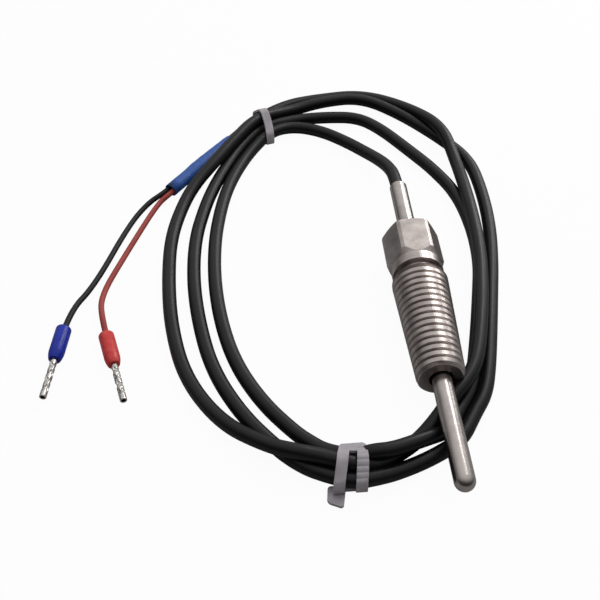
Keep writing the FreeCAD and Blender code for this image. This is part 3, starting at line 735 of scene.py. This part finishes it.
# %% [markdown]
# ## Ties
#
# The coil is held by two moulded nylon ties. A tie is a strap whose loop hugs the turns, so its
# path is the tight outline round the cable's sections: each vertex of a circle moves to the point
# of that outline that lies furthest in its direction. Undyed nylon is milky: light goes a
# millimetre into it, which greys the bright side and fills the dark one.

# %% Milky nylon
def nylon():
    """Satin plastic that light goes into, with a cloudy change of shade."""
    material, tree, shader = new_material("natural_nylon_moulded")
    cloud = add(tree, "TexNoise", inputs={"Vector": place(tree), "Scale": 0.4, "Detail": 3.0})
    tint = ramp(tree, cloud.outputs["Fac"], [(0.3, "#B4AFB3"), (0.7, "#C6C1C5")])
    tree.links.new(tint, shader.inputs["Base Color"])
    shader.inputs["Roughness"].default_value = 0.38
    shader.inputs["IOR"].default_value = 1.53
    shader.inputs["Subsurface Weight"].default_value = 0.6
    shader.inputs["Subsurface Radius"].default_value = (1.2 * MM, 1.1 * MM, 1.1 * MM)
    return material


NYLON = nylon()


# %% Strap helpers
STRAP_THICK, STRAP_SNUG, STRAP_LIFT = 0.8, 0.12, 0.02
STRAP_SEGMENTS, LONGEST_EDGE, EDGE_STEP = 120, 0.4, 0.2


def tie_frame(middle, across_degrees):
    """The matrix from a tie's own axes (across, up, along the turns) in mm to the part's frame."""
    a = math.radians(across_degrees)
    across, along = Vector((math.cos(a), math.sin(a), 0)), Vector((math.sin(a), -math.cos(a), 0))
    columns = Matrix((across, (0, 0, 1), along)).transposed().to_4x4()
    return Matrix.Translation(Vector((*middle, FLOOR)) * MM) @ columns @ Matrix.Scale(MM, 4)


def sections_at(frame_of_tie, reach=11):
    """Where the cable passes through a tie's plane, as (across, height) in mm."""
    local = [frame_of_tie.inverted() @ point for point in cable_line]
    found = []
    for a, b in zip(local, local[1:]):
        if a.z * b.z <= 0 and a.z != b.z and abs(a.x) < reach:
            found.append(a.lerp(b, a.z / (a.z - b.z)).xy)
    return found


def strap_mesh(sections, columns, squeeze=1.0):
    """A closed strap round the sections; squeeze is the cosine of its slant over the turns."""
    bm = bmesh.new()
    ring = bmesh.ops.create_circle(bm, segments=STRAP_SEGMENTS, radius=1)["verts"]
    for vert in ring:
        way = vert.co.xy.normalized()
        best = max(sections, key=lambda s: s.x * squeeze * way.x + s.y * way.y)
        vert.co.x = best.x + way.x * (CABLE_R + STRAP_SNUG) / squeeze
        vert.co.y = max(best.y + way.y * (CABLE_R + STRAP_SNUG), STRAP_THICK + STRAP_LIFT)
    for edge in [e for e in bm.edges if e.calc_length() > LONGEST_EDGE]:
        bmesh.ops.subdivide_edges(bm, edges=[edge], cuts=int(edge.calc_length() / EDGE_STEP))
    bmesh.ops.translate(bm, vec=(0, 0, columns[0]), verts=bm.verts)
    edges = bm.edges[:]
    for low, high in zip(columns, columns[1:]):
        grown = bmesh.ops.extrude_edge_only(bm, edges=edges)["geom"]
        fresh = [v for v in grown if isinstance(v, bmesh.types.BMVert)]
        bmesh.ops.translate(bm, vec=(0, 0, high - low), verts=fresh)
        edges = [e for e in grown if isinstance(e, bmesh.types.BMEdge)]
        edges = [e for e in edges if all(abs(v.co.z - high) < 1e-6 for v in e.verts)]
    return bm


def finish_strap(name, bm, node):
    """Give a strap its thickness outwards and its rounded edges, and let it stand for its node."""
    piece = mesh_piece(name, bm, NYLON)
    wall = piece.modifiers.new("wall", "SOLIDIFY")
    wall.thickness, wall.offset = STRAP_THICK * MM, 1.0
    edge = piece.modifiers.new("edge", "BEVEL")
    edge.width, edge.segments, edge.limit_method = 0.2 * MM, 3, "ANGLE"
    edge.angle_limit, edge.harden_normals = math.radians(50), True
    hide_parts(node)
    return piece


# %% Upper tie
UPPER_MIDDLE, UPPER_ACROSS, UPPER_SLANT, UPPER_BOW = (-38.3, 77.6), 105, 31, 0.9
UPPER_COLUMNS = [-1.3, -0.65, 0, 0.65, 1.3]
upper_frame = tie_frame(UPPER_MIDDLE, UPPER_ACROSS)
upper_sections = sections_at(upper_frame)
print("upper tie round", [tuple(round(c, 1) for c in s) for s in upper_sections])
upper = strap_mesh(upper_sections, UPPER_COLUMNS, math.cos(math.radians(UPPER_SLANT)))
half = max(abs(v.co.x) for v in upper.verts)
for vert in upper.verts:
    vert.co.z += UPPER_BOW * (1 - (vert.co.x / half) ** 2)
bmesh.ops.recalc_face_normals(upper, faces=upper.faces)
bmesh.ops.transform(upper, matrix=upper_frame, verts=upper.verts)
tie_top = finish_strap("upper_tie", upper, "tie_top")

# %% [markdown]
# The lower tie is one wide strap with a window cut into its upper side, which leaves two bands. Its
# columns are then moved so that the bands spread and lean as they do in the photograph, the right
# band gets its ribs, and the strap's end lies on the floor as a rounded tab.

# %% Lower tie
COLUMNS = [-3.6, -2.7, -1.8, -0.95, 0, 0.95, 1.8, 2.7, 3.6]
LEFT_WINDOW, MIDDLE, RIGHT_WINDOW = COLUMNS[3:6]
LOWER_MIDDLE, LOWER_ACROSS = (-23.8, -55.7), 90
WINDOW_FROM, WINDOW_FLOOR = 0.9, 1.0
RIB_PITCH, RIB_HEIGHT, RIBS_ABOVE = 1.2, 0.09, 2.5
# Where the bands' edges lie at the back, and how far they lean to the left on the way to the front
LEFT_EDGE, LEFT_INSIDE, LEFT_LEAN = -2.5, 0.15, 2.5
RIGHT_INSIDE, INSIDE_LEAN = 1.6, 1.4
RIGHT_EDGE, EDGE_BULGE, EDGE_LEAN = 3.35, 0.4, 0.5
ARCH_SHARE, ARCH_LEFT, ARCH_RIGHT = 0.16, 1.0, 0.9
TAB_CORNERS = [(-30.3, -64.0), (-26.7, -65.7), (-25.6, -60.3), (-29.8, -59.8)]
TAB_LIE, TAB_ROUNDING = 0.15, 0.9
lower_frame = tie_frame(LOWER_MIDDLE, LOWER_ACROSS)
lower_sections = sections_at(lower_frame)
print("lower tie round", [tuple(round(c, 1) for c in s) for s in lower_sections])
lower = strap_mesh(lower_sections, COLUMNS)
window = []
for face in lower.faces:
    middle = face.calc_center_median()
    if abs(middle.z) < RIGHT_WINDOW and middle.x < WINDOW_FROM and middle.y > WINDOW_FLOOR:
        window.append(face)
bmesh.ops.delete(lower, geom=window, context="FACES")
back_end = max(v.co.x for v in lower.verts)
front_end = min(v.co.x for v in lower.verts)


def band_place(column, share):
    """Where a column of the strap lies at a share of the way from the back to the front."""
    arch = max(0.0, 1 - share / ARCH_SHARE) ** 2
    bulge = EDGE_BULGE * math.sin(math.pi * share)
    left, window_left = LEFT_EDGE - LEFT_LEAN * share + ARCH_LEFT * arch, LEFT_INSIDE - LEFT_LEAN * share
    window_right = RIGHT_INSIDE - INSIDE_LEAN * share
    right = RIGHT_EDGE + bulge - EDGE_LEAN * share - ARCH_RIGHT * arch
    column = round(column, 3)
    if column <= LEFT_WINDOW:
        return left + (window_left - left) * (column - COLUMNS[0]) / (LEFT_WINDOW - COLUMNS[0])
    if column >= RIGHT_WINDOW:
        return right + (window_right - right) * (COLUMNS[-1] - column) / (COLUMNS[-1] - RIGHT_WINDOW)
    return (window_left + window_right) / 2


for vert in lower.verts:
    column = vert.co.z
    vert.co.z = band_place(column, (back_end - vert.co.x) / (back_end - front_end))
    if column > MIDDLE and vert.co.y > RIBS_ABOVE:
        vert.co.y += RIB_HEIGHT * math.sin(2 * math.pi * vert.co.x / RIB_PITCH)
bmesh.ops.recalc_face_normals(lower, faces=lower.faces)
bmesh.ops.transform(lower, matrix=lower_frame, verts=lower.verts)
tab = lower.faces.new([lower.verts.new((x * MM, y * MM, (FLOOR + TAB_LIE) * MM)) for x, y in TAB_CORNERS])
bmesh.ops.bevel(
    lower, geom=tab.verts[:], offset=TAB_ROUNDING * MM, affect="VERTICES", segments=5, profile=0.5,
    material=-1,
)
tie_bottom = finish_strap("lower_tie", lower, "tie_bottom")

# %% [markdown]
# ## Inner pieces
#
# What the tube holds can't be seen, but each piece still has the finish of what it is: chalky
# ceramic and powder, glossy poured epoxy, dull woven glass, and drawn nickel wire.

# %% Inner materials
def fine_grained(name, dark, light, roughness):
    """A solid with a fine grit in its colour and its relief."""
    material, tree, shader = new_material(name)
    grit = add(tree, "TexNoise", inputs={"Vector": place(tree), "Scale": 2.5, "Detail": 5.0})
    tint = ramp(tree, grit.outputs["Fac"], [(0.3, dark), (0.7, light)])
    tree.links.new(tint, shader.inputs["Base Color"])
    shader.inputs["Roughness"].default_value = roughness
    bump = add(tree, "Bump", inputs={"Height": grit.outputs["Fac"], "Strength": 0.4, "Distance": 0.05 * MM})
    tree.links.new(bump.outputs["Normal"], shader.inputs["Normal"])
    return material


INNER = {
    "rtd_element": fine_grained("alumina_ceramic_fired", "#E4E1D8", "#F0EEE6", 0.45),
    "tip_filling": fine_grained("magnesia_powder_packed", "#CFCCC0", "#E0DDD2", 0.9),
    "cable_seal": fine_grained("black_epoxy_poured", "#151517", "#202023", 0.25),
    "splice_sleeve_black": fine_grained("white_fibreglass_sleeving", "#D2CFC4", "#E6E3DA", 0.7),
    "splice_sleeve_red": fine_grained("white_fibreglass_sleeving_b", "#D2CFC4", "#E6E3DA", 0.7),
    "element_wire_black": plated_metal("nickel_wire_drawn", "#A8A49C", "#C6C2BA"),
    "element_wire_red": plated_metal("nickel_wire_drawn_b", "#A8A49C", "#C6C2BA"),
    "inner_core_black": BLACK_LEAD,
    "inner_core_red": RED_LEAD,
}
for node, material in INNER.items():
    nodes[node].data.materials.clear()
    nodes[node].data.materials.append(material)

# %% [markdown]
# ## Floor and light
#
# The photograph is lit from above and behind, and its floor burns out to white. The floor here is
# white for the camera alone: what the metal mirrors is its darker paper, because bright steel looks
# grey and flat when it has only white to show.

# %% Floor
GLOW, GLOW_SHARE = 1.06, 0.9
FLOOR_HALF_M, BELOW_THE_PART = 3, 0.1
floor_material, floor_tree, floor_shader = new_material("white_studio_paper")
floor_shader.inputs["Base Color"].default_value = colour("#B4B4B4")
floor_shader.inputs["Roughness"].default_value = 0.9
glow = add(floor_tree, "Emission", inputs={"Color": colour("#FFFFFF"), "Strength": GLOW})
seen = add(floor_tree, "LightPath").outputs["Is Camera Ray"]
seen_share = add(floor_tree, "Math", {"operation": "MULTIPLY"}, {0: seen, 1: GLOW_SHARE}).outputs["Value"]
paper = add(floor_tree, "MixShader", inputs={0: seen_share})
floor_tree.links.new(floor_shader.outputs["BSDF"], paper.inputs[1])
floor_tree.links.new(glow.outputs["Emission"], paper.inputs[2])
floor_tree.links.new(paper.outputs["Shader"], floor_tree.nodes["Material Output"].inputs["Surface"])
bm = bmesh.new()
bmesh.ops.create_grid(bm, x_segments=1, y_segments=1, size=FLOOR_HALF_M)
bmesh.ops.translate(bm, vec=(0, 0, (FLOOR - BELOW_THE_PART) * MM), verts=bm.verts)
mesh = bpy.data.meshes.new("floor")
bm.to_mesh(mesh)
bm.free()
mesh.materials.append(floor_material)
floor = bpy.data.objects.new("floor", mesh)
bpy.context.scene.collection.objects.link(floor)

# %% Light
TENT_STRENGTH = 0.95
BRIGHTEST = Vector((0.12, 0.5, 0.86))
world = bpy.data.worlds.new("tent")
world.use_nodes = True
bpy.context.scene.world = world
sky = world.node_tree
way = add(sky, "TexCoord").outputs["Generated"]
# The tent is brightest above and behind the probe and darkens away from there.
facing = {0: way, 1: tuple(BRIGHTEST.normalized())}
toward = add(sky, "VectorMath", {"operation": "DOT_PRODUCT"}, facing).outputs["Value"]
shade = ramp(sky, toward, [(0.0, "#3A393A"), (0.3, "#7E7D7E"), (0.7, "#D2D1D2"), (1.0, "#FAFAFB")])
tent = sky.nodes["Background"]
sky.links.new(shade, tent.inputs["Color"])
tent.inputs["Strength"].default_value = TENT_STRENGTH
plain = add(sky, "Background", inputs={"Color": colour("#F7F7F7"), "Strength": 1.0})
backdrop = add(sky, "MixShader", inputs={0: add(sky, "LightPath").outputs["Is Camera Ray"]})
sky.links.new(tent.outputs["Background"], backdrop.inputs[1])
sky.links.new(plain.outputs["Background"], backdrop.inputs[2])
sky.links.new(backdrop.outputs["Shader"], sky.nodes["World Output"].inputs["Surface"])


def panel(name, place_mm, target_mm, size_mm, power):
    """A soft rectangular light that faces a point."""
    data = bpy.data.lights.new(name, "AREA")
    data.shape, data.size, data.size_y = "RECTANGLE", size_mm[0] * MM, size_mm[1] * MM
    data.energy = power
    light = bpy.data.objects.new(name, data)
    bpy.context.scene.collection.objects.link(light)
    light.location = Vector(place_mm) * MM
    toward = (Vector(target_mm) - Vector(place_mm)).normalized()
    light.rotation_euler = toward.to_track_quat("-Z", "Y").to_euler()
    return light


panel("window_behind", (215, 340, 290), (0, 0, 0), (110, 260), 0.55)
panel("low_strip_right", (420, 408, 140), (0, 0, 0), (150, 90), 0.25)
bpy.context.scene.view_settings.view_transform = "Standard"
